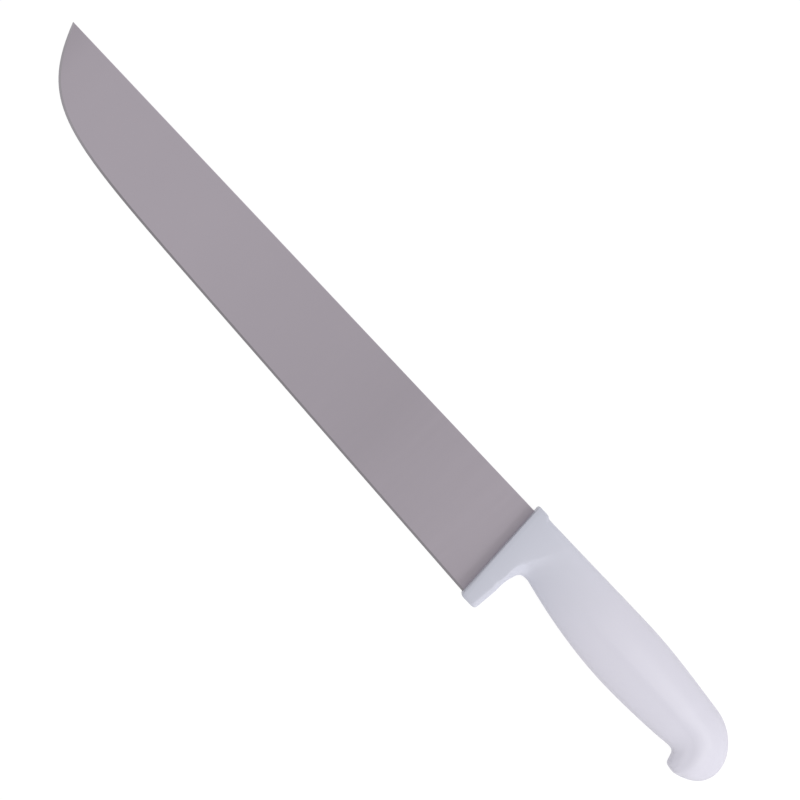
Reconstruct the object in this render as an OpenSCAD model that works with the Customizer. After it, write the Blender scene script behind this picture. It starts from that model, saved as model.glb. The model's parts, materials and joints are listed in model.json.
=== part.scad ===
// Butcher's meat knife with a straight spine and a moulded white handle.
// The blade and its tang are one stamped plate. The handle is moulded round the tang.
// Drawn with x towards the butt, y towards the spine and z across the knife.
// The working zero is where the spine enters the collar, on the middle plane of the blade.

/* [Blade] */
// Length of the spine from the point to the collar
blade_len = 304.8; // [220:0.1:360]
// Width of the blade at the heel, where the edge enters the collar
heel_w = 48.7; // [44:0.1:56]
// Angle between the straight part of the edge and the spine
edge_angle = 2.2; // [0.5:0.1:4]
// Length of the curved belly, measured along the spine from the point
belly_len = 127; // [100:1:150]
// Angle between the edge and the spine at the point
point_angle = 67; // [50:1:80]
// Thickness of the plate, kept in the tang and along the spine at the heel
plate_t = 2.5; // [1.8:0.1:3.5]
// Thickness of the spine at the point
point_t = 1.5; // [1:0.1:1.8]
// Thickness of the heel just above the edge
heel_t = 0.7; // [0.5:0.1:1.2]
// Width of the sharpened bevel
bevel_w = 1.1; // [0.6:0.1:2]
// Thickness left at the very edge
land_t = 0.16; // [0.1:0.02:0.3]

/* [Tang] */
// Depth of the full width of the blade inside the collar
shoulder_len = 6.5; // [4:0.1:8]
// Length of the tang from the collar
tang_len = 104; // [70:1:112]
// Width of the tang behind the shoulders
tang_w = 19; // [14:0.5:20]
// Width of the tang near its end
tang_end_w = 13; // [10:0.5:15]
// Step from the spine down to the tang
tang_drop = 2.5; // [1:0.1:4]
// Fall of the tang's upper side over its length
tang_fall = 5.5; // [3:0.1:7]
// Diameter of the holes that the handle grips through
tang_hole_d = 7; // [4:0.5:8]
// Number of those holes
tang_holes = 3; // [1:1:4]
// Radius inside the corners between shoulders and tang
shoulder_r = 3.5; // [1:0.5:5]
// Radius of the outer corners of shoulders and tang
tang_r = 3; // [1:0.5:4]

/* [Handle outline] */
// Length of the handle from the root of the spine to the butt
handle_len = 143.1; // [130:0.1:160]
// Height of the grip from its back to the lowest point of the belly
grip_h = 33.5; // [30:0.5:38]
// Height of the grip's back over the spine
back_rise = 2.4; // [1.5:0.1:4]
// Height of the collar's lip over the spine
lip_rise = 3.1; // [2.6:0.1:5]
// Length of the lip before it drops to the back
lip_len = 5; // [3:0.1:9]
// Length of the drop behind the lip
lip_fade = 2.6; // [1:0.1:5]
// Backward lean of the collar's front face
collar_lean = 4.7; // [0:0.1:8]
// Depth of the guard below the edge at the heel
guard_drop = 1.5; // [1:0.1:5]
// Distance from the root of the spine to the guard's rear face
guard_reach = 13.8; // [12:0.1:16]
// Narrowing of the guard from the finger notch to its end
guard_taper = 0.6; // [0:0.1:1.5]
// Depth of the finger notch below the spine
notch_depth = 23.8; // [22.5:0.1:27]
// Depth of the beak below the belly
beak_h = 4.4; // [2:0.1:8]

/* [Handle widths] */
// Width of the collar and guard
collar_w = 17; // [14:0.1:20]
// Width of the neck behind the collar, where it is widest
neck_w = 16.6; // [13:0.1:18]
// Greatest width of the palm swell
palm_w = 22.6; // [19:0.1:26]
// Width of the tail before the butt rounds off
tail_w = 20.4; // [17:0.1:24]
// Edge radius round the collar's front face
collar_front_r = 1; // [0.5:0.1:2]
// Edge radius along the collar's lip
collar_lip_r = 2.4; // [1:0.1:3]
// Edge radius down the guard's rear face
guard_rear_r = 3; // [1:0.1:4]
// Edge radius round the end of the guard
guard_end_r = 1.6; // [0.8:0.1:2]

/* [Hidden] */

// Overrun of every cut past the surface that it leaves
over = 2;
$fn = 48;

// Steps round one corner of a section, and along its flat side
corner_steps = 8;
side_steps = 4;
// Steps of the straight edge, the curved edge, the guard's end and each rounded corner of the plate
straight_edge_steps = 16;
belly_steps = 36;
guard_end_steps = 4;
plate_corner_steps = 6;

// Leading places of the outline
guard_y = -(heel_w + guard_drop);
belly_y = back_rise - grip_h;
guard_root_y = -(notch_depth + guard_reach * 1.155);
top_corner_r = collar_front_r * 0.8;

// General curve helpers
function bezier(p, t) =
    let (s = 1 - t)
    s * s * s * p[0] + 3 * s * s * t * p[1] + 3 * s * t * t * p[2] + t * t * t * p[3];
function straight(a, b) = [a, (2 * a + b) / 3, (a + 2 * b) / 3, b];
// A place on a line of joined curves: whole part is the curve, remainder is the way along it
function on_line(curves, place) =
    let (i = min(floor(place), len(curves) - 1))
    bezier(curves[i], place - i);
function unit(v) = v / norm(v);
function left_of(v) = [-v[1], v[0]];
function mix(a, b, t) = a + (b - a) * t;

// A table read smoothly between its rows, by the place in each row's first column
function row_before(table, x, i = 0) =
    (i >= len(table) - 2 || x < table[i + 1][0]) ? i : row_before(table, x, i + 1);
function row_slope(table, i) =
    let (a = table[max(i - 1, 0)], b = table[min(i + 1, len(table) - 1)])
    (b - a) / (b[0] - a[0]);
function read_smooth(table, x) =
    let (
        i = row_before(table, x),
        gap = table[i + 1][0] - table[i][0],
        t = min(max((x - table[i][0]) / gap, 0), 1),
        out = row_slope(table, i) * gap,
        into = row_slope(table, i + 1) * gap
    )
    (2 * t * t * t - 3 * t * t + 1) * table[i] + (t * t * t - 2 * t * t + t) * out
    + (3 * t * t - 2 * t * t * t) * table[i + 1] + (t * t * t - t * t) * into;

// Outline of the blade

// The collar's front face leans back towards the edge
function collar_x(y) = -y * tan(collar_lean);
heel = [collar_x(-heel_w), -heel_w];
tip = [-blade_len, 0];
edge_run = [-cos(edge_angle), sin(edge_angle)];
// The straight edge ends where the belly begins
belly_start = heel + edge_run * (heel[0] - (belly_len - blade_len)) / cos(edge_angle);
// How far each end of the belly keeps its direction, as shares of the belly's length
belly_hold_share = 0.735;
point_hold_share = 0.32;
belly_curve = [
    belly_start,
    belly_start + edge_run * belly_len * belly_hold_share,
    tip + [cos(point_angle), -sin(point_angle)] * belly_len * point_hold_share,
    tip
];
belly = [for (i = [0:belly_steps]) bezier(belly_curve, i / belly_steps)];

// Corners of a closed outline rounded by arcs that touch both sides
function rounded_corner(before, at, after, r) =
    let (
        a = unit(before - at),
        b = unit(after - at),
        half = acos(a * b) / 2,
        centre = at + unit(a + b) * r / sin(half),
        from = at + a * r / tan(half) - centre,
        to = at + b * r / tan(half) - centre,
        side = sign(from[0] * to[1] - from[1] * to[0])
    )
    r == 0 ? [at] : [
        for (i = [0:plate_corner_steps])
            let (turn = side * (180 - 2 * half) * i / plate_corner_steps)
            centre + [from[0] * cos(turn) - from[1] * sin(turn), from[0] * sin(turn) + from[1] * cos(turn)]
    ];
shoulder_back = [shoulder_len, 0];
shoulder_foot = heel + [shoulder_len, -shoulder_len * tan(edge_angle)];
tang_bottom = -(tang_drop + tang_w);
// Each corner with its radius, from the root of the spine round the tang to the heel
plate_corners = [
    [shoulder_back, tang_r / 2],
    [[collar_x(-tang_drop) + shoulder_len, -tang_drop], tang_r / 4],
    [[tang_len, -(tang_drop + tang_fall)], tang_r],
    [[tang_len, -(tang_drop + tang_fall + tang_end_w)], tang_r],
    [[collar_x(tang_bottom) + shoulder_len, tang_bottom], shoulder_r],
    [shoulder_foot, tang_r]
];
function plate_corner(i) =
    let (n = len(plate_corners))
    rounded_corner(
        i == 0 ? tip : plate_corners[i - 1][0],
        plate_corners[i][0],
        i == n - 1 ? heel : plate_corners[i + 1][0],
        plate_corners[i][1]
    );
plate_outline = concat(
    [for (i = [0:len(plate_corners) - 1]) each plate_corner(i)],
    belly
);

// Grinding of the blade

// Each ground side is one plane that falls from the spine to the edge and from heel to point
fall_to_edge = (plate_t - heel_t) / 2 / heel_w;
fall_to_point = (plate_t - point_t) / 2 / blade_len;
function side_z(p) = plate_t / 2 + p[0] * fall_to_point + p[1] * fall_to_edge;
// The same two falls, measured along the collar's leaning face and square to it
fall_down = fall_to_edge * cos(collar_lean) - fall_to_point * sin(collar_lean);
fall_across = fall_to_point * cos(collar_lean) + fall_to_edge * sin(collar_lean);
grind_size = 2 * blade_len;

// What the grinding takes off: it ends at the collar, in a slope that the plastic hides
module ground_side() {
    down_tilt = atan(fall_down);
    across_tilt = -atan(fall_across * cos(down_tilt));
    translate([0, 0, plate_t / 2])
        rotate([0, 0, collar_lean])
            rotate([down_tilt, 0, 0])
                rotate([0, across_tilt, 0])
                    rotate([90, 0, 0])
                        linear_extrude(height = grind_size, center = true)
                            polygon([[-grind_size, 0], [0, 0], [plate_t, plate_t], [-grind_size, plate_t]]);
}

// The edge as one line of points, run a little into the collar and past the point
edge_line = concat(
    [heel - edge_run * bevel_w, heel - edge_run * bevel_w * 0.5],
    [for (i = [0:straight_edge_steps - 1]) mix(heel, belly_start, i / straight_edge_steps)],
    belly,
    [tip + unit(tip - belly[belly_steps - 1]) * over]
);
function edge_inward(i) =
    let (
        n = len(edge_line),
        a = edge_line[max(i - 1, 0)],
        b = edge_line[min(i + 1, n - 1)]
    )
    -left_of(unit(b - a));
// Cross-section of the metal that the bevel takes off, at one place of the edge
function bevel_ring(i) =
    let (
        at = edge_line[i],
        in = edge_inward(i),
        shoulder_z = side_z(at + in * bevel_w),
        steep = (shoulder_z - land_t / 2) / bevel_w,
        low = at - in * over,
        high = at + in * (bevel_w + over / 2),
        low_z = land_t / 2 - steep * over,
        high_z = shoulder_z + steep * over / 2
    )
    [[low[0], low[1], low_z], [low[0], low[1], high_z], [high[0], high[1], high_z]];

// A closed tube of faces through rings of equal count, capped flat at both ends
function tube_faces(rings, count) = concat(
    [[for (j = [0:count - 1]) j]],
    [for (i = [0:rings - 2]) for (j = [0:count - 1])
        let (k = (j + 1) % count)
        each [
            [i * count + j, (i + 1) * count + j, (i + 1) * count + k],
            [i * count + j, (i + 1) * count + k, i * count + k]
        ]],
    [[for (j = [count - 1:-1:0]) (rings - 1) * count + j]]
);

module bevel() {
    rings = len(edge_line);
    polyhedron(
        points = [for (i = [0:rings - 1]) each bevel_ring(i)],
        faces = tube_faces(rings, 3)
    );
}

// Places of the holes along the tang
hole_first = guard_reach + tang_hole_d * 1.5;
hole_last = tang_len - tang_end_w;
function hole_x(i) = tang_holes == 1
    ? (hole_first + hole_last) / 2
    : mix(hole_first, hole_last, i / (tang_holes - 1));
function hole_y(x) =
    let (t = x / tang_len)
    -(tang_drop + tang_fall * t + mix(tang_w, tang_end_w, t) / 2);

module plate() {
    difference() {
        translate([0, 0, -plate_t / 2])
            linear_extrude(height = plate_t)
                polygon(plate_outline);
        ground_side();
        mirror([0, 0, 1])
            ground_side();
        bevel();
        mirror([0, 0, 1])
            bevel();
        for (i = [0:tang_holes - 1])
            translate([hole_x(i), hole_y(hole_x(i)), -plate_t / 2 - over])
                cylinder(d = tang_hole_d, h = plate_t + 2 * over);
    }
}

// Outline of the handle

// Places on the grip: shares of its length, and of its height down from the back
function grip(x_share, y_share) = [x_share * handle_len, back_rise - y_share * grip_h];
// Places on the beak: shares of the grip's length, and of the beak's height below the belly
function beak(x_share, y_share) = [x_share * handle_len, belly_y - y_share * beak_h];
// The end of the beak, where both lines meet
beak_end = beak(0.9, 1);

lip_front = [collar_x(lip_rise), lip_rise];
lip_end = [lip_len + lip_fade, back_rise * 0.88];
// Outer line: up the collar's front face, along the back and round the butt to the beak
outer_curves = [
    straight([collar_x(guard_y), guard_y], [collar_x(lip_rise - top_corner_r), lip_rise - top_corner_r]),
    [
        [collar_x(lip_rise - top_corner_r), lip_rise - top_corner_r],
        mix([collar_x(lip_rise - top_corner_r), lip_rise - top_corner_r], lip_front, 0.55),
        mix(lip_front + [top_corner_r, 0], lip_front, 0.55),
        lip_front + [top_corner_r, 0]
    ],
    straight(lip_front + [top_corner_r, 0], [lip_len, lip_rise]),
    [
        [lip_len, lip_rise],
        [lip_len + lip_fade / 2, lip_rise],
        [lip_len + lip_fade / 2, lip_end[1]],
        lip_end
    ],
    [lip_end, mix(lip_end, [0.506 * handle_len, lip_end[1]], 1 / 3), grip(0.365, 0), grip(0.506, 0)],
    [grip(0.506, 0), grip(0.628, 0), grip(0.752, 0.0755), grip(0.8545, 0.1205)],
    [grip(0.8545, 0.1205), grip(0.927, 0.1525), grip(1, 0.401), grip(1, 0.743)],
    [grip(1, 0.743), grip(1, 1.047), beak(0.904, 1.005), beak_end]
];
// Inner line: up the guard's rear face, round the finger notch and along the belly to the beak
inner_curves = [
    straight([guard_reach - guard_taper, guard_y], [guard_reach, guard_root_y]),
    [
        [guard_reach, guard_root_y],
        [guard_reach * 1.01, -notch_depth],
        [guard_reach * 1.165, -notch_depth],
        [0.145 * handle_len, -notch_depth]
    ],
    [[0.145 * handle_len, -notch_depth], [0.151 * handle_len, -notch_depth], grip(0.34, 1), grip(0.546, 1)],
    [grip(0.546, 1), grip(0.608, 1), grip(0.745, 0.973), grip(0.815, 0.93)],
    [grip(0.815, 0.93), grip(0.8545, 0.9055), grip(0.8515, 0.949), beak(0.8635, 0.636)],
    [beak(0.8635, 0.636), beak(0.867, 0.914), beak(0.878, 0.969), beak_end]
];
guard_end_share = guard_end_r / (guard_root_y - guard_y);
guard_front_share = guard_end_r / (lip_rise - top_corner_r - guard_y);
guard_root_share = (guard_root_y - guard_y) / (lip_rise - top_corner_r - guard_y);

// Rungs join the two lines. Each row: outer place, inner place, steps from the row before,
// and bow towards the collar, as a share of the guard's reach
rung_shares = [
    [guard_front_share, guard_end_share, 0, 0],
    [guard_root_share, 1, 4, 0],
    [1, 1.12, 8, 0],
    [2, 1.14, 3, 0.02],
    [3, 1.17, 3, 0.045],
    [4, 1.192, 5, 0.075],
    [4.225, 1.26, 5, 0.2],
    [4.35, 1.5, 8, 0.25],
    [4.437, 1.84, 5, 0.16],
    [4.494, 2, 2, 0.12],
    [5, 3, 14, 0],
    [6, 4, 15, 0],
    [7, 5, 14, 0]
];
last_rung_share = rung_shares[len(rung_shares) - 1];
// Steps of the rounding that closes the beak
closing_steps = 9;
// Each rung: outer place, inner place, inset of the guard's rounded end, share of the full width, bow
rungs = concat(
    [for (i = [0:guard_end_steps - 1])
        let (a = 90 * i / guard_end_steps, up = 1 - cos(a))
        [guard_front_share * up, guard_end_share * up, guard_end_r * (1 - sin(a)), 1, 0]],
    [[guard_front_share, guard_end_share, 0, 1, 0]],
    [for (i = [1:len(rung_shares) - 1]) for (k = [1:rung_shares[i][2]])
        let (t = k / rung_shares[i][2], a = rung_shares[i - 1], b = rung_shares[i])
        [mix(a[0], b[0], t), mix(a[1], b[1], t), 0, 1, mix(a[3], b[3], t) * guard_reach]],
    [for (k = [1:closing_steps - 1])
        let (t = sin(90 * k / closing_steps))
        [last_rung_share[0] + t, last_rung_share[1] + t, 0, sqrt(1 - t * t), 0]]
);

// Greatest half width of the handle at places along it, each place taken midway up its rung
half_widths = [
    [0.127 * handle_len, collar_w / 2],
    [0.157 * handle_len, mix(collar_w, neck_w, 0.85) / 2],
    [0.187 * handle_len, neck_w / 2],
    [0.260 * handle_len, mix(neck_w, palm_w, 0.17) / 2],
    [0.380 * handle_len, mix(neck_w, palm_w, 0.68) / 2],
    [0.500 * handle_len, mix(neck_w, palm_w, 0.97) / 2],
    [0.570 * handle_len, palm_w / 2],
    [0.660 * handle_len, mix(palm_w, tail_w, 0.1) / 2],
    [0.780 * handle_len, mix(palm_w, tail_w, 0.55) / 2],
    [0.880 * handle_len, tail_w / 2],
    [0.950 * handle_len, tail_w * 0.485]
];
// Form of the section at places along the handle. Each row: place, then roundness, depth and flat
// of the upper corner, the same three of the lower corner, and the thinning below
form_shares = [
    [0.087, 0, 0.16, 0.70, 0, 0.30, 0.50, 0],
    [0.127, 0.5, 0.20, 0.52, 0, 0.38, 0.38, 0],
    [0.142, 0.7, 0.22, 0.46, 0.3, 0.42, 0.32, 0.08],
    [0.157, 0.85, 0.23, 0.42, 0.8, 0.46, 0.26, 0.17],
    [0.187, 1, 0.26, 0.34, 1, 0.52, 0.18, 0.22],
    [0.260, 1, 0.32, 0.24, 1, 0.56, 0.12, 0.18],
    [0.380, 1, 0.38, 0.14, 1, 0.58, 0.10, 0.10],
    [0.500, 1, 0.40, 0.10, 1, 0.58, 0.10, 0.04],
    [0.640, 1, 0.40, 0.10, 1, 0.58, 0.10, 0.03],
    [0.780, 1, 0.40, 0.10, 1, 0.58, 0.10, 0.05],
    [0.880, 1, 0.41, 0.10, 1, 0.57, 0.12, 0.08],
    [0.950, 1, 0.43, 0.10, 1, 0.55, 0.14, 0.08]
];

// Half width of a corner at a place from its end: a quarter of an ellipse that rises from flat to w
function corner_width(place, depth, flat, w) =
    flat + (w - flat) * sqrt(max(1 - pow(1 - place / depth, 2), 0));

// One side of a section, from the outer end of its rung to the inner end.
// It keeps the width w at the foot of its upper corner and thins from there down.
// On round sections its middle points stand evenly, so that none crowd where two corners meet.
function half_section(long, w, depth_o, flat_o, depth_i, flat_i, thin, round) =
    let (
        steps = [
            for (k = [0:corner_steps]) depth_o * (1 - cos(90 * k / corner_steps)),
            for (k = [1:side_steps - 1]) mix(depth_o, long - depth_i, k / side_steps),
            for (k = [0:corner_steps]) long - depth_i * (1 - sin(90 * k / corner_steps))
        ],
        first = corner_steps - 2,
        last = len(steps) - 1 - first
    )
    [for (i = [0:len(steps) - 1])
        let (
            inside = min(max((i - first) / (last - first), 0), 1),
            even = inside > 0 && inside < 1 ? mix(steps[first], steps[last], inside) : steps[i],
            p = mix(steps[i], even, round),
            width = p < depth_o ? corner_width(p, depth_o, flat_o, w)
                : p > long - depth_i ? corner_width(long - p, depth_i, flat_i, w)
                : w,
            down = max(p - depth_o, 0) / (long - depth_o)
        )
        [p, width * (1 - thin * down * down)]];

// How much of a rung's bow applies at a place down it: all of it two thirds of the way down
function bow_share(place) = 6.75 * place * place * (1 - place);

// The ring of points round one rung
function handle_ring(rung) =
    let (
        whole_o = on_line(outer_curves, rung[0]),
        whole_i = on_line(inner_curves, rung[1]),
        dir = unit(whole_i - whole_o),
        outer = whole_o + dir * rung[2],
        long = norm(whole_i - whole_o) - 2 * rung[2],
        middle_x = (whole_o[0] + whole_i[0]) / 2,
        w = read_smooth(half_widths, middle_x)[1] * rung[3] - rung[2],
        form = read_smooth(form_shares, middle_x / handle_len),
        edge_r = mix(collar_front_r, collar_lip_r, min(max(rung[0] - 1, 0), 1)),
        depth_o = mix(edge_r, form[2] * long, form[1]),
        flat_o = mix(w - edge_r, form[3] * w, form[1]),
        depth_i = mix(guard_rear_r, form[5] * long, form[4]),
        flat_i = mix(w - guard_rear_r, form[6] * w, form[4]),
        side = half_section(long, w, depth_o, flat_o, depth_i, flat_i, form[7], form[1]),
        half_ring = [
            for (p = side)
                let (q = outer + dir * p[0] - left_of(dir) * rung[4] * bow_share(p[0] / long))
                [q[0], q[1], p[1]]
        ],
        last = len(side) - 1
    )
    concat(half_ring, [for (i = [last:-1:0]) let (p = half_ring[i]) [p[0], p[1], -p[2]]]);

handle_rings = [for (r = rungs) handle_ring(r)];
ring_count = len(handle_rings[0]);

// Faces as in a tube, but drawn together to one point at the beak
function handle_faces() =
    let (n = len(rungs), pole = n * ring_count, body = tube_faces(n, ring_count))
    concat(
        [for (i = [0:len(body) - 2]) body[i]],
        [for (j = [0:ring_count - 1])
            [(n - 1) * ring_count + j, pole, (n - 1) * ring_count + (j + 1) % ring_count]]
    );

module handle_form() {
    polyhedron(
        points = concat([for (ring = handle_rings) each ring], [[beak_end[0], beak_end[1], 0]]),
        faces = handle_faces()
    );
}

// The finished knife lies on its side: its lowest point is at height zero,
// and the origin is under the middle of its overall length and width
half_thick = max([for (ring = handle_rings) for (p = ring) p[2]]);
centre_x = (handle_len - blade_len) / 2;
centre_y = (lip_rise + guard_y) / 2;
module laid() {
    translate([-centre_x, -centre_y, half_thick])
        children();
}

// The blade: stamped plate, ground flat on both sides, with its hidden tang
module blade() {
    color([0.63, 0.61, 0.64])
        laid()
            plate();
}

// The handle: one white moulding that fills the tang's holes
module handle() {
    color([0.84, 0.83, 0.88])
        laid()
            difference() {
                handle_form();
                plate();
            }
}

blade();
handle();
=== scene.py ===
# A butcher's meat knife, dressed piece by piece and laid on a white table
import json
import math

import bpy
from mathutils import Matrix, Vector
from mathutils.bvhtree import BVHTree

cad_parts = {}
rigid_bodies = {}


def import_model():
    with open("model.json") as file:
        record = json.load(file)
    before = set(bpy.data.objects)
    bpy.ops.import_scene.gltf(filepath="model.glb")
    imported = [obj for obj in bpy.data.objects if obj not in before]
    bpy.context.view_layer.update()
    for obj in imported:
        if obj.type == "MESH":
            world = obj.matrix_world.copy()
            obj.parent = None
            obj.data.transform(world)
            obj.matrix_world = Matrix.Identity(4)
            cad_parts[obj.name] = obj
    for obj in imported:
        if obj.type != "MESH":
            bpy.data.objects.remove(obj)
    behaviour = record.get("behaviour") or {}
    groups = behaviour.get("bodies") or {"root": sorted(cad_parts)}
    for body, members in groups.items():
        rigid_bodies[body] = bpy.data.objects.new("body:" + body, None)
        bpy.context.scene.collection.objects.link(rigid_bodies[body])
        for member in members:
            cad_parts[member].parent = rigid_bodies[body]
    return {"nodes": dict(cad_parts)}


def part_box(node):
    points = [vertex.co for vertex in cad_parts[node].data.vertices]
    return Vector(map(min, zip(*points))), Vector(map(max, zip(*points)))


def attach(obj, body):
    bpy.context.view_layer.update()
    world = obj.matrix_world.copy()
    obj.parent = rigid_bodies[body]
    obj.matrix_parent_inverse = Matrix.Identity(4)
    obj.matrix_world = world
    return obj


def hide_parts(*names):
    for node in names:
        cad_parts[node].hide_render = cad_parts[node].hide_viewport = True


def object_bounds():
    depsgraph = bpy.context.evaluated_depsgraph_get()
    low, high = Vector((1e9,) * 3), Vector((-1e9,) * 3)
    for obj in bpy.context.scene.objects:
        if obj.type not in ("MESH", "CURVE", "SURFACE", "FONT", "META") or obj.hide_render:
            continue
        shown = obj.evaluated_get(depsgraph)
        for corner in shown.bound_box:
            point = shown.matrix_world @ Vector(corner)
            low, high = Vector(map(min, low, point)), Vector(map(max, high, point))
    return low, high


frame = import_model()
cad_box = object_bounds()

# The picture
# The camera hangs square over the left side of the blade, with a lens long enough to leave no
# perspective. The knife lies across the picture with its point at the upper left.
mid_plane = (cad_box[0].z + cad_box[1].z) / 2
camera_height = 1.4
picture_width = 0.36255
picture_turn = math.radians(46.68)
picture_centre = Vector((0.0024, 0.0137, mid_plane))
bpy.ops.object.camera_add(
    location=picture_centre + Vector((0, 0, camera_height)),
    rotation=(0, 0, picture_turn),
)
camera = bpy.context.object
camera.data.lens = camera.data.sensor_width * camera_height / picture_width
bpy.context.scene.camera = camera
bpy.context.scene.view_settings.view_transform = "Standard"

# The room
# White walls at the horizon, dimmer light above them, and a grey ceiling over the camera, which
# the satin blade mirrors. The side towards the butt is the brighter one.
wall_level = 1.0
upper_level = 0.62
ceiling_level = 0.56
wall_top = 0.1
upper_start = 0.4
upper_end = 0.75
butt_side_gain = 0.10
butt_wall_gain = 0.70


def put_node(tree, kind, sockets=None, **settings):
    """Adds a shader node, sets its own settings, and fills or links its sockets."""
    made = tree.nodes.new(kind)
    for name, value in settings.items():
        setattr(made, name, value)
    for name, value in (sockets or {}).items():
        if isinstance(value, bpy.types.NodeSocket):
            tree.links.new(value, made.inputs[name])
        else:
            made.inputs[name].default_value = value
    return made


def calculate(tree, operation, *values):
    """Adds a Math node over numbers or sockets, and returns its result."""
    made = put_node(tree, "ShaderNodeMath", dict(enumerate(values)), operation=operation)
    return made.outputs[0]


def remap(tree, value, start, end, at_start=0.0, at_end=1.0):
    """Adds a Map Range node, which turns start to end into at_start to at_end."""
    sockets = {
        "Value": value,
        "From Min": start,
        "From Max": end,
        "To Min": at_start,
        "To Max": at_end,
    }
    return put_node(tree, "ShaderNodeMapRange", sockets).outputs["Result"]


def grey_curve(tree, value, stops):
    """Adds a colour ramp over a value, with a grey level at each stop, and returns its colour."""
    made = put_node(tree, "ShaderNodeValToRGB", {0: value})
    ramp = made.color_ramp
    while len(ramp.elements) < len(stops):
        ramp.elements.new(0.5)
    for element, (place, level) in zip(ramp.elements, stops):
        element.position = place
        element.color = (level, level, level, 1)
    return made.outputs["Color"]


room = bpy.data.worlds.new("white_room")
bpy.context.scene.world = room
room.use_nodes = True
tree = room.node_tree
tree.nodes.clear()
direction = put_node(tree, "ShaderNodeTexCoord").outputs["Generated"]
parts = put_node(tree, "ShaderNodeSeparateXYZ", {0: direction})
towards_butt = parts.outputs["X"]
upwards = parts.outputs["Z"]
level = grey_curve(
    tree,
    upwards,
    [
        (0.0, wall_level),
        (wall_top, wall_level),
        (upper_start, upper_level),
        (upper_end, upper_level),
        (1.0, ceiling_level),
    ],
)
butt_side = calculate(tree, "MAXIMUM", towards_butt, 0.0)
wall_gain = calculate(tree, "MULTIPLY_ADD", butt_side, butt_wall_gain, 1.0)
upper_gain = calculate(tree, "MULTIPLY_ADD", towards_butt, butt_side_gain, 1.0)
above_wall = remap(tree, upwards, wall_top, upper_start)
gain = put_node(tree, "ShaderNodeMix", {0: above_wall, 2: wall_gain, 3: upper_gain})
sockets = {0: level, 3: gain.outputs[0]}
light = put_node(tree, "ShaderNodeVectorMath", sockets, operation="SCALE")
background = put_node(tree, "ShaderNodeBackground", {"Color": light.outputs[0], "Strength": 1.0})
put_node(tree, "ShaderNodeOutputWorld", {"Surface": background.outputs[0]})

# The lamp
# One soft box hangs just past the butt, near enough for the light on the handle to fade towards
# the blade.
lamp_place = Vector((0.30, 0.04, 0.31))
lamp_aim = Vector((0.25, 0, mid_plane))
lamp_size = 0.16
lamp_power = 0.445
bpy.ops.object.light_add(type="AREA", location=lamp_place)
lamp = bpy.context.object
lamp.name = "soft_box"
lamp.data.shape = "SQUARE"
lamp.data.size = lamp_size
lamp.data.energy = lamp_power
lamp.rotation_mode = "QUATERNION"
lamp.rotation_quaternion = (lamp_aim - lamp_place).to_track_quat("-Z", "Y")
lamp.visible_camera = False

# The table
# A plain white top. The knife would lie on its palm swell and its point, so the top leans until
# it meets both. It looks white past the shadow, which stays.
blade_cad = frame["nodes"]["blade"]
handle_cad = frame["nodes"]["handle"]
table_size = 12
table_white = (0.86, 0.86, 0.86, 1)
glow_white = (1, 1, 1, 1)
table_glow = 1.1
glow_share = 0.85
point_digits = 5


def new_material(name):
    """An empty node material with its tree."""
    made = bpy.data.materials.new(name)
    made.use_nodes = True
    made.node_tree.nodes.clear()
    return made, made.node_tree


# The lowest place at the blade's point, and the slope from there that just meets the handle
point_place = min(
    (v.co for v in blade_cad.data.vertices),
    key=lambda place: (round(place.x, point_digits), place.z),
)
table_slope = max(
    (point_place.z - v.co.z) / (v.co.x - point_place.x) for v in handle_cad.data.vertices
)
bpy.ops.mesh.primitive_plane_add(
    size=table_size, location=point_place, rotation=(0, math.atan(table_slope), 0)
)
table = bpy.context.object
table.name = "table_top"
table_paint, tree = new_material("white_table")
lit = put_node(tree, "ShaderNodeBsdfDiffuse", {"Color": table_white})
glow = put_node(tree, "ShaderNodeEmission", {"Color": glow_white, "Strength": table_glow})
path = put_node(tree, "ShaderNodeLightPath")
seen = calculate(tree, "MAXIMUM", path.outputs["Is Camera Ray"], path.outputs["Is Glossy Ray"])
seen = calculate(tree, "MAXIMUM", seen, path.outputs["Is Transmission Ray"])
share = calculate(tree, "MULTIPLY", seen, glow_share)
both = put_node(tree, "ShaderNodeMixShader", {0: share, 1: lit.outputs[0], 2: glow.outputs[0]})
put_node(tree, "ShaderNodeOutputMaterial", {"Surface": both.outputs[0]})
table.data.materials.append(table_paint)

# The blade
# Stamped from stainless plate, ground across from spine to edge on a wheel, and sharpened to a
# narrow bevel. The corners of the spine are eased, so that they don't cut the hand.
blade_length = 0.3048
weld_gap = 1e-6
flat_angle = math.radians(0.05)
spine_least_run = 0.1
spine_ease = 0.00022
soft_angle = math.radians(9)
bevel_turn = 0.02
bevel_flatness = 0.9992


def joined_copy(node, name):
    """A copy of a CAD node as one closed mesh, alone, active and in edit mode."""
    bpy.ops.object.select_all(action="DESELECT")
    piece = bpy.data.objects.new(name, node.data.copy())
    bpy.context.scene.collection.objects.link(piece)
    piece.data.materials.clear()
    piece.select_set(True)
    bpy.context.view_layer.objects.active = piece
    bpy.ops.mesh.customdata_custom_splitnormals_clear()
    bpy.ops.object.mode_set(mode="EDIT")
    bpy.ops.mesh.select_all(action="SELECT")
    bpy.ops.mesh.remove_doubles(threshold=weld_gap)
    return piece


def choose_edges(piece, wanted):
    """Selects, in edit mode, the edges for which wanted(one end, other end) holds."""
    bpy.ops.mesh.select_mode(type="EDGE")
    bpy.ops.mesh.select_all(action="DESELECT")
    bpy.ops.object.mode_set(mode="OBJECT")
    places = [v.co.copy() for v in piece.data.vertices]
    chosen = [wanted(*(places[i] for i in edge.vertices)) for edge in piece.data.edges]
    piece.data.edges.foreach_set("select", chosen)
    bpy.ops.object.mode_set(mode="EDIT")


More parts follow.
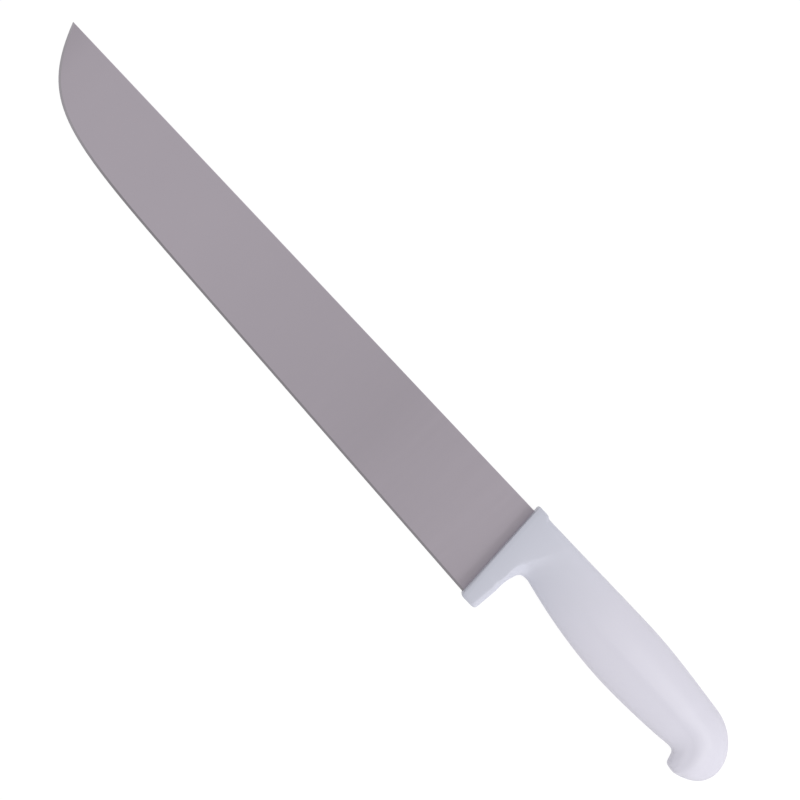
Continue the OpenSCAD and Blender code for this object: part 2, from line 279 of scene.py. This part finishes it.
blade = joined_copy(blade_cad, "ground_blade")
bpy.ops.mesh.dissolve_limited(angle_limit=flat_angle)
spine_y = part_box("blade")[1].y
choose_edges(
    blade,
    lambda a, b: min(a.y, b.y) > spine_y - weld_gap and abs(a.x - b.x) > spine_least_run,
)
bpy.ops.mesh.bevel(offset=spine_ease, offset_type="OFFSET", segments=3, profile=0.5)
bpy.ops.object.mode_set(mode="OBJECT")
bpy.ops.object.shade_smooth_by_angle(angle=soft_angle)
for face in blade.data.polygons:
    turned_to_edge = face.normal.y < -bevel_turn
    face.material_index = int(turned_to_edge and abs(face.normal.z) < bevel_flatness)
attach(blade, "root")
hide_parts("blade")

# The satin sides have fine lines across them from the wheel and faint clouds. Painted shade
# darkens their colour at the point and towards the collar, where the light falls off.
steel_tone = (0.662, 0.600, 0.668)
steel_shade = (0.641, 0.582, 0.650)
satin_roughness = 0.34
roughness_spread = 0.02
wear_low = 0.15
wear_high = 0.35
satin_cut = 0.10
line_stretch = (1.0, 0.02, 0.02)
line_depth = 0.00003
fine_line_scale = 5200
broad_line_scale = 900
broad_share = 0.15
cloud_scale = 22
collar_lean = math.radians(4.7)
collar_line = Vector((math.cos(collar_lean), math.sin(collar_lean), 0))
spine_root = Vector((cad_box[0].x + blade_length, spine_y, 0))


def noise(tree, place, scale, detail, roughness):
    """Adds a noise texture, and returns its grey value."""
    sockets = {"Vector": place, "Scale": scale, "Detail": detail, "Roughness": roughness}
    return put_node(tree, "ShaderNodeTexNoise", sockets).outputs["Fac"]


def mix_colours(tree, share, first, second, way="MIX"):
    """Adds a colour Mix node, and returns its colour."""
    sockets = {0: share, 6: first, 7: second}
    made = put_node(tree, "ShaderNodeMix", sockets, data_type="RGBA", blend_type=way)
    return made.outputs[2]


def measured_along(tree, place, line):
    """Returns how far each place lies from the root of the spine, measured along a line."""
    sockets = {0: place, 1: spine_root}
    from_root = put_node(tree, "ShaderNodeVectorMath", sockets, operation="SUBTRACT")
    sockets = {0: from_root.outputs[0], 1: line}
    reach = put_node(tree, "ShaderNodeVectorMath", sockets, operation="DOT_PRODUCT")
    return reach.outputs["Value"]


def ground_lines():
    """The node group of fine lines that the grinding wheel leaves across the blade."""
    group = bpy.data.node_groups.new("ground_lines", "ShaderNodeTree")
    group.interface.new_socket("Strength", in_out="INPUT", socket_type="NodeSocketFloat")
    group.interface.new_socket("Normal", in_out="OUTPUT", socket_type="NodeSocketVector")
    group.interface.new_socket("Wear", in_out="OUTPUT", socket_type="NodeSocketFloat")
    strength = put_node(group, "NodeGroupInput").outputs["Strength"]
    place = put_node(group, "ShaderNodeTexCoord").outputs["Object"]
    sockets = {"Vector": place, "Scale": line_stretch}
    across = put_node(group, "ShaderNodeMapping", sockets).outputs[0]
    fine = noise(group, across, fine_line_scale, detail=3, roughness=0.6)
    broad = noise(group, across, broad_line_scale, detail=2, roughness=0.5)
    height = calculate(group, "MULTIPLY_ADD", broad, broad_share, fine)
    sockets = {"Height": height, "Strength": strength, "Distance": line_depth}
    bump = put_node(group, "ShaderNodeBump", sockets)
    wear = calculate(group, "MULTIPLY", broad, fine)
    put_node(group, "NodeGroupOutput", {"Normal": bump.outputs[0], "Wear": wear})
    return group


def finish_material(tree, sockets):
    """Adds the material's shader with its sockets, and its output."""
    skin = put_node(tree, "ShaderNodeBsdfPrincipled", sockets)
    put_node(tree, "ShaderNodeOutputMaterial", {"Surface": skin.outputs[0]})


lines = ground_lines()
steel, tree = new_material("satin_ground_steel")
place = put_node(tree, "ShaderNodeTexCoord").outputs["Object"]
cut = put_node(tree, "ShaderNodeGroup", node_tree=lines)
cut.inputs["Strength"].default_value = satin_cut
cloud = noise(tree, place, cloud_scale, detail=3, roughness=0.55)
tone = mix_colours(tree, cloud, (*steel_shade, 1), (*steel_tone, 1))
near_collar = remap(tree, measured_along(tree, place, collar_line), -blade_length, 0.0)
# Painted shade: the light's fall-off along the blade, multiplied into the steel's colour
painted_falloff_shade = grey_curve(
    tree,
    near_collar,
    [
        (0.0, 0.88),
        (0.05, 0.98),
        (0.10, 1.0),
        (0.35, 0.985),
        (0.65, 0.90),
        (0.74, 0.85),
        (0.80, 0.87),
        (0.93, 0.855),
        (0.98, 0.80),
    ],
)
toned = mix_colours(tree, 1.0, tone, painted_falloff_shade, "MULTIPLY")
smoothest = satin_roughness - roughness_spread
roughest = satin_roughness + roughness_spread
rough = remap(tree, cut.outputs["Wear"], wear_low, wear_high, smoothest, roughest)
finish_material(
    tree,
    {
        "Base Color": toned,
        "Metallic": 1.0,
        "Roughness": rough,
        "Normal": cut.outputs["Normal"],
    },
)
blade.data.materials.append(steel)

# The honed edge is cut finer than the sides. Its colour is a painted reflection, dark along its
# straight run and lighter round the belly.
honed_painted_reflection = (0.395, 0.370, 0.400)
belly_painted_reflection = (0.540, 0.510, 0.550)
honed_roughness = 0.28
honed_cut = 0.04
belly_x = -0.188
straight_x = -0.154
honed, tree = new_material("honed_edge")
place = put_node(tree, "ShaderNodeTexCoord").outputs["Object"]
cut = put_node(tree, "ShaderNodeGroup", node_tree=lines)
cut.inputs["Strength"].default_value = honed_cut
parts = put_node(tree, "ShaderNodeSeparateXYZ", {0: place})
past_belly = remap(tree, parts.outputs["X"], belly_x, straight_x)
# Painted reflection: darker steel colour along the straight run, lighter round the belly
tone = mix_colours(tree, past_belly, (*belly_painted_reflection, 1), (*honed_painted_reflection, 1))
finish_material(
    tree,
    {
        "Base Color": tone,
        "Metallic": 1.0,
        "Roughness": honed_roughness,
        "Normal": cut.outputs["Normal"],
    },
)
blade.data.materials.append(honed)

# The handle
# One moulding of white plastic, shot round the tang in a mould of two halves that close on the
# middle plane. A fine line shows where they met.
quad_bend = math.radians(25)
quad_skew = math.radians(60)
guard_flat_height = 0.0083
guard_flat_width = 0.0085
corner_low = -0.0345
corner_high = -0.0185
corner_slide = (-0.0012, 0.0002, 0)
corner_reach = 0.004
corner_rounds = 12
butt_reach = 0.03
butt_rounds = 10
smoothing_share = 0.5
front_lean = math.radians(1)
holding_band = 0.0003
crease_angle = math.radians(40)
rounding_levels = 2
parting_rise = 0.00008
parting_half = 0.00022
seam_gap = 1e-5
steel_gap = 0.0004


def choose_faces(piece, wanted):
    """Selects, in edit mode, the faces for which wanted(face) holds."""
    bpy.ops.mesh.select_mode(type="FACE")
    bpy.ops.mesh.select_all(action="DESELECT")
    bpy.ops.object.mode_set(mode="OBJECT")
    chosen = [wanted(face) for face in piece.data.polygons]
    piece.data.polygons.foreach_set("select", chosen)
    bpy.ops.object.mode_set(mode="EDIT")


def on_guard_corner(place):
    """Tells whether a point is where the guard's flat side ends and its rear corner starts."""
    from_spine = place - spine_root
    return (
        abs(place.z - mid_plane) > guard_flat_height
        and from_spine.dot(collar_line) > guard_flat_width
        and corner_low < from_spine.y < corner_high
    )


def soften_across(rounds):
    """Evens out the selected places across the knife, and leaves the outline alone."""
    bpy.ops.mesh.vertices_smooth(
        factor=smoothing_share, repeat=rounds, xaxis=False, yaxis=False, zaxis=True
    )


handle = joined_copy(handle_cad, "moulded_handle")
bpy.ops.mesh.tris_convert_to_quads(face_threshold=quad_bend, shape_threshold=quad_skew)

# The guard's rear corner is eased wider where the forefinger presses on it
choose_edges(handle, lambda a, b: on_guard_corner(a) and on_guard_corner(b))
bpy.ops.transform.translate(
    value=corner_slide,
    use_proportional_edit=True,
    proportional_edit_falloff="SMOOTH",
    proportional_size=corner_reach,
)
bpy.ops.mesh.select_more()
soften_across(corner_rounds)

# The butt rounds over in one sweep
choose_edges(handle, lambda a, b: min(a.x, b.x) > cad_box[1].x - butt_reach)
soften_across(butt_rounds)

# A narrow band keeps the collar's front flat, and what is sharp stays sharp as the skin is rounded
choose_faces(handle, lambda face: face.normal.dot(-collar_line) > math.cos(front_lean))
bpy.ops.mesh.dissolve_limited(angle_limit=front_lean)
bpy.ops.mesh.inset(thickness=holding_band)
bpy.ops.mesh.select_mode(type="EDGE")
bpy.ops.mesh.select_all(action="DESELECT")
bpy.ops.mesh.edges_select_sharp(sharpness=crease_angle)
bpy.ops.transform.edge_crease(value=1)
bpy.ops.object.mode_set(mode="OBJECT")
rounding = handle.modifiers.new("rounding", "SUBSURF")
rounding.levels = rounding_levels
rounding.render_levels = rounding_levels
bpy.ops.object.modifier_apply(modifier="rounding")

# The parting line: cuts beside the middle plane, and the ring between them raised, outside only
bpy.ops.object.mode_set(mode="EDIT")
for side in (-parting_half, 0, parting_half):
    bpy.ops.mesh.select_all(action="SELECT")
    bpy.ops.mesh.bisect(
        plane_co=(0, 0, mid_plane + side), plane_no=(0, 0, 1), threshold=seam_gap
    )
bpy.ops.mesh.select_mode(type="VERT")
bpy.ops.mesh.select_all(action="DESELECT")
bpy.ops.object.mode_set(mode="OBJECT")
steel_skin = BVHTree.FromPolygons(
    [v.co for v in blade_cad.data.vertices],
    [face.vertices for face in blade_cad.data.polygons],
)
for v in handle.data.vertices:
    on_seam = abs(v.co.z - mid_plane) < seam_gap
    past_front = (v.co - spine_root).dot(collar_line) > holding_band
    v.select = on_seam and past_front and steel_skin.find_nearest(v.co)[3] > steel_gap
bpy.ops.object.mode_set(mode="EDIT")
bpy.ops.transform.shrink_fatten(value=parting_rise)
bpy.ops.object.mode_set(mode="OBJECT")
bpy.ops.object.shade_smooth_by_angle(angle=crease_angle)
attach(handle, "root")
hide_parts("handle")

# The plastic has a fine matt grain. Painted shade greys its colour towards the blade, where the
# light falls off. A painted highlight makes it paler on the back of the guard, where it faces the
# light.
plastic_tone = (0.690, 0.674, 0.758)
collar_tone = (0.656, 0.668, 0.762)
tint_reach = 0.06
handle_length = 0.143
rim_light_gain = 0.06
rim_light_start = 0.0155
rim_light_end = 0.019
least_turn_back = 0.08
full_turn_back = 0.30
rim_light_centre = Vector((spine_root.x + 0.014, spine_root.y - 0.036, mid_plane))
plastic_roughness = 0.48
grain_scale = 3000
grain_strength = 0.15
grain_depth = 0.00005
plastic, tree = new_material("white_moulded_plastic")
place = put_node(tree, "ShaderNodeTexCoord").outputs["Object"]
behind_front = measured_along(tree, place, collar_line)
# Painted shade: the light's fall-off from the butt towards the blade, and a darker strip at the
# collar's front edge, multiplied into the plastic's colour
painted_falloff_on_plastic = grey_curve(
    tree,
    remap(tree, behind_front, 0.0, handle_length),
    [
        (0.005, 0.83),
        (0.02, 0.90),
        (0.06, 0.93),
        (0.10, 0.947),
        (0.18, 0.955),
        (0.31, 0.99),
        (0.42, 1.0),
        (0.74, 0.973),
        (1.0, 0.975),
    ],
)
normal = put_node(tree, "ShaderNodeTexCoord").outputs["Normal"]
facing = put_node(tree, "ShaderNodeSeparateXYZ", {0: normal})
# Painted highlight: faces on the guard's back that turn towards the butt, where the light comes
# from, are made paler
faces_back = remap(tree, facing.outputs["X"], least_turn_back, full_turn_back)
sockets = {0: place, 1: rim_light_centre}
from_rim_light_centre = put_node(tree, "ShaderNodeVectorMath", sockets, operation="DISTANCE")
rim_light_by_guard = remap(tree, from_rim_light_centre.outputs["Value"], rim_light_start, rim_light_end, rim_light_gain, 0.0)
painted_rim_light = calculate(tree, "MULTIPLY_ADD", faces_back, rim_light_by_guard, 1.0)
level = put_node(tree, "ShaderNodeVectorMath", {0: painted_falloff_on_plastic, 3: painted_rim_light}, operation="SCALE")
warmth = remap(tree, behind_front, 0.0, tint_reach)
tone = mix_colours(tree, warmth, (*collar_tone, 1), (*plastic_tone, 1))
toned = mix_colours(tree, 1.0, tone, level.outputs[0], "MULTIPLY")
grain = noise(tree, place, grain_scale, detail=2, roughness=0.5)
sockets = {"Height": grain, "Strength": grain_strength, "Distance": grain_depth}
bump = put_node(tree, "ShaderNodeBump", sockets)
finish_material(
    tree,
    {
        "Base Color": toned,
        "Roughness": plastic_roughness,
        "Normal": bump.outputs[0],
    },
)
handle.data.materials.append(plastic)
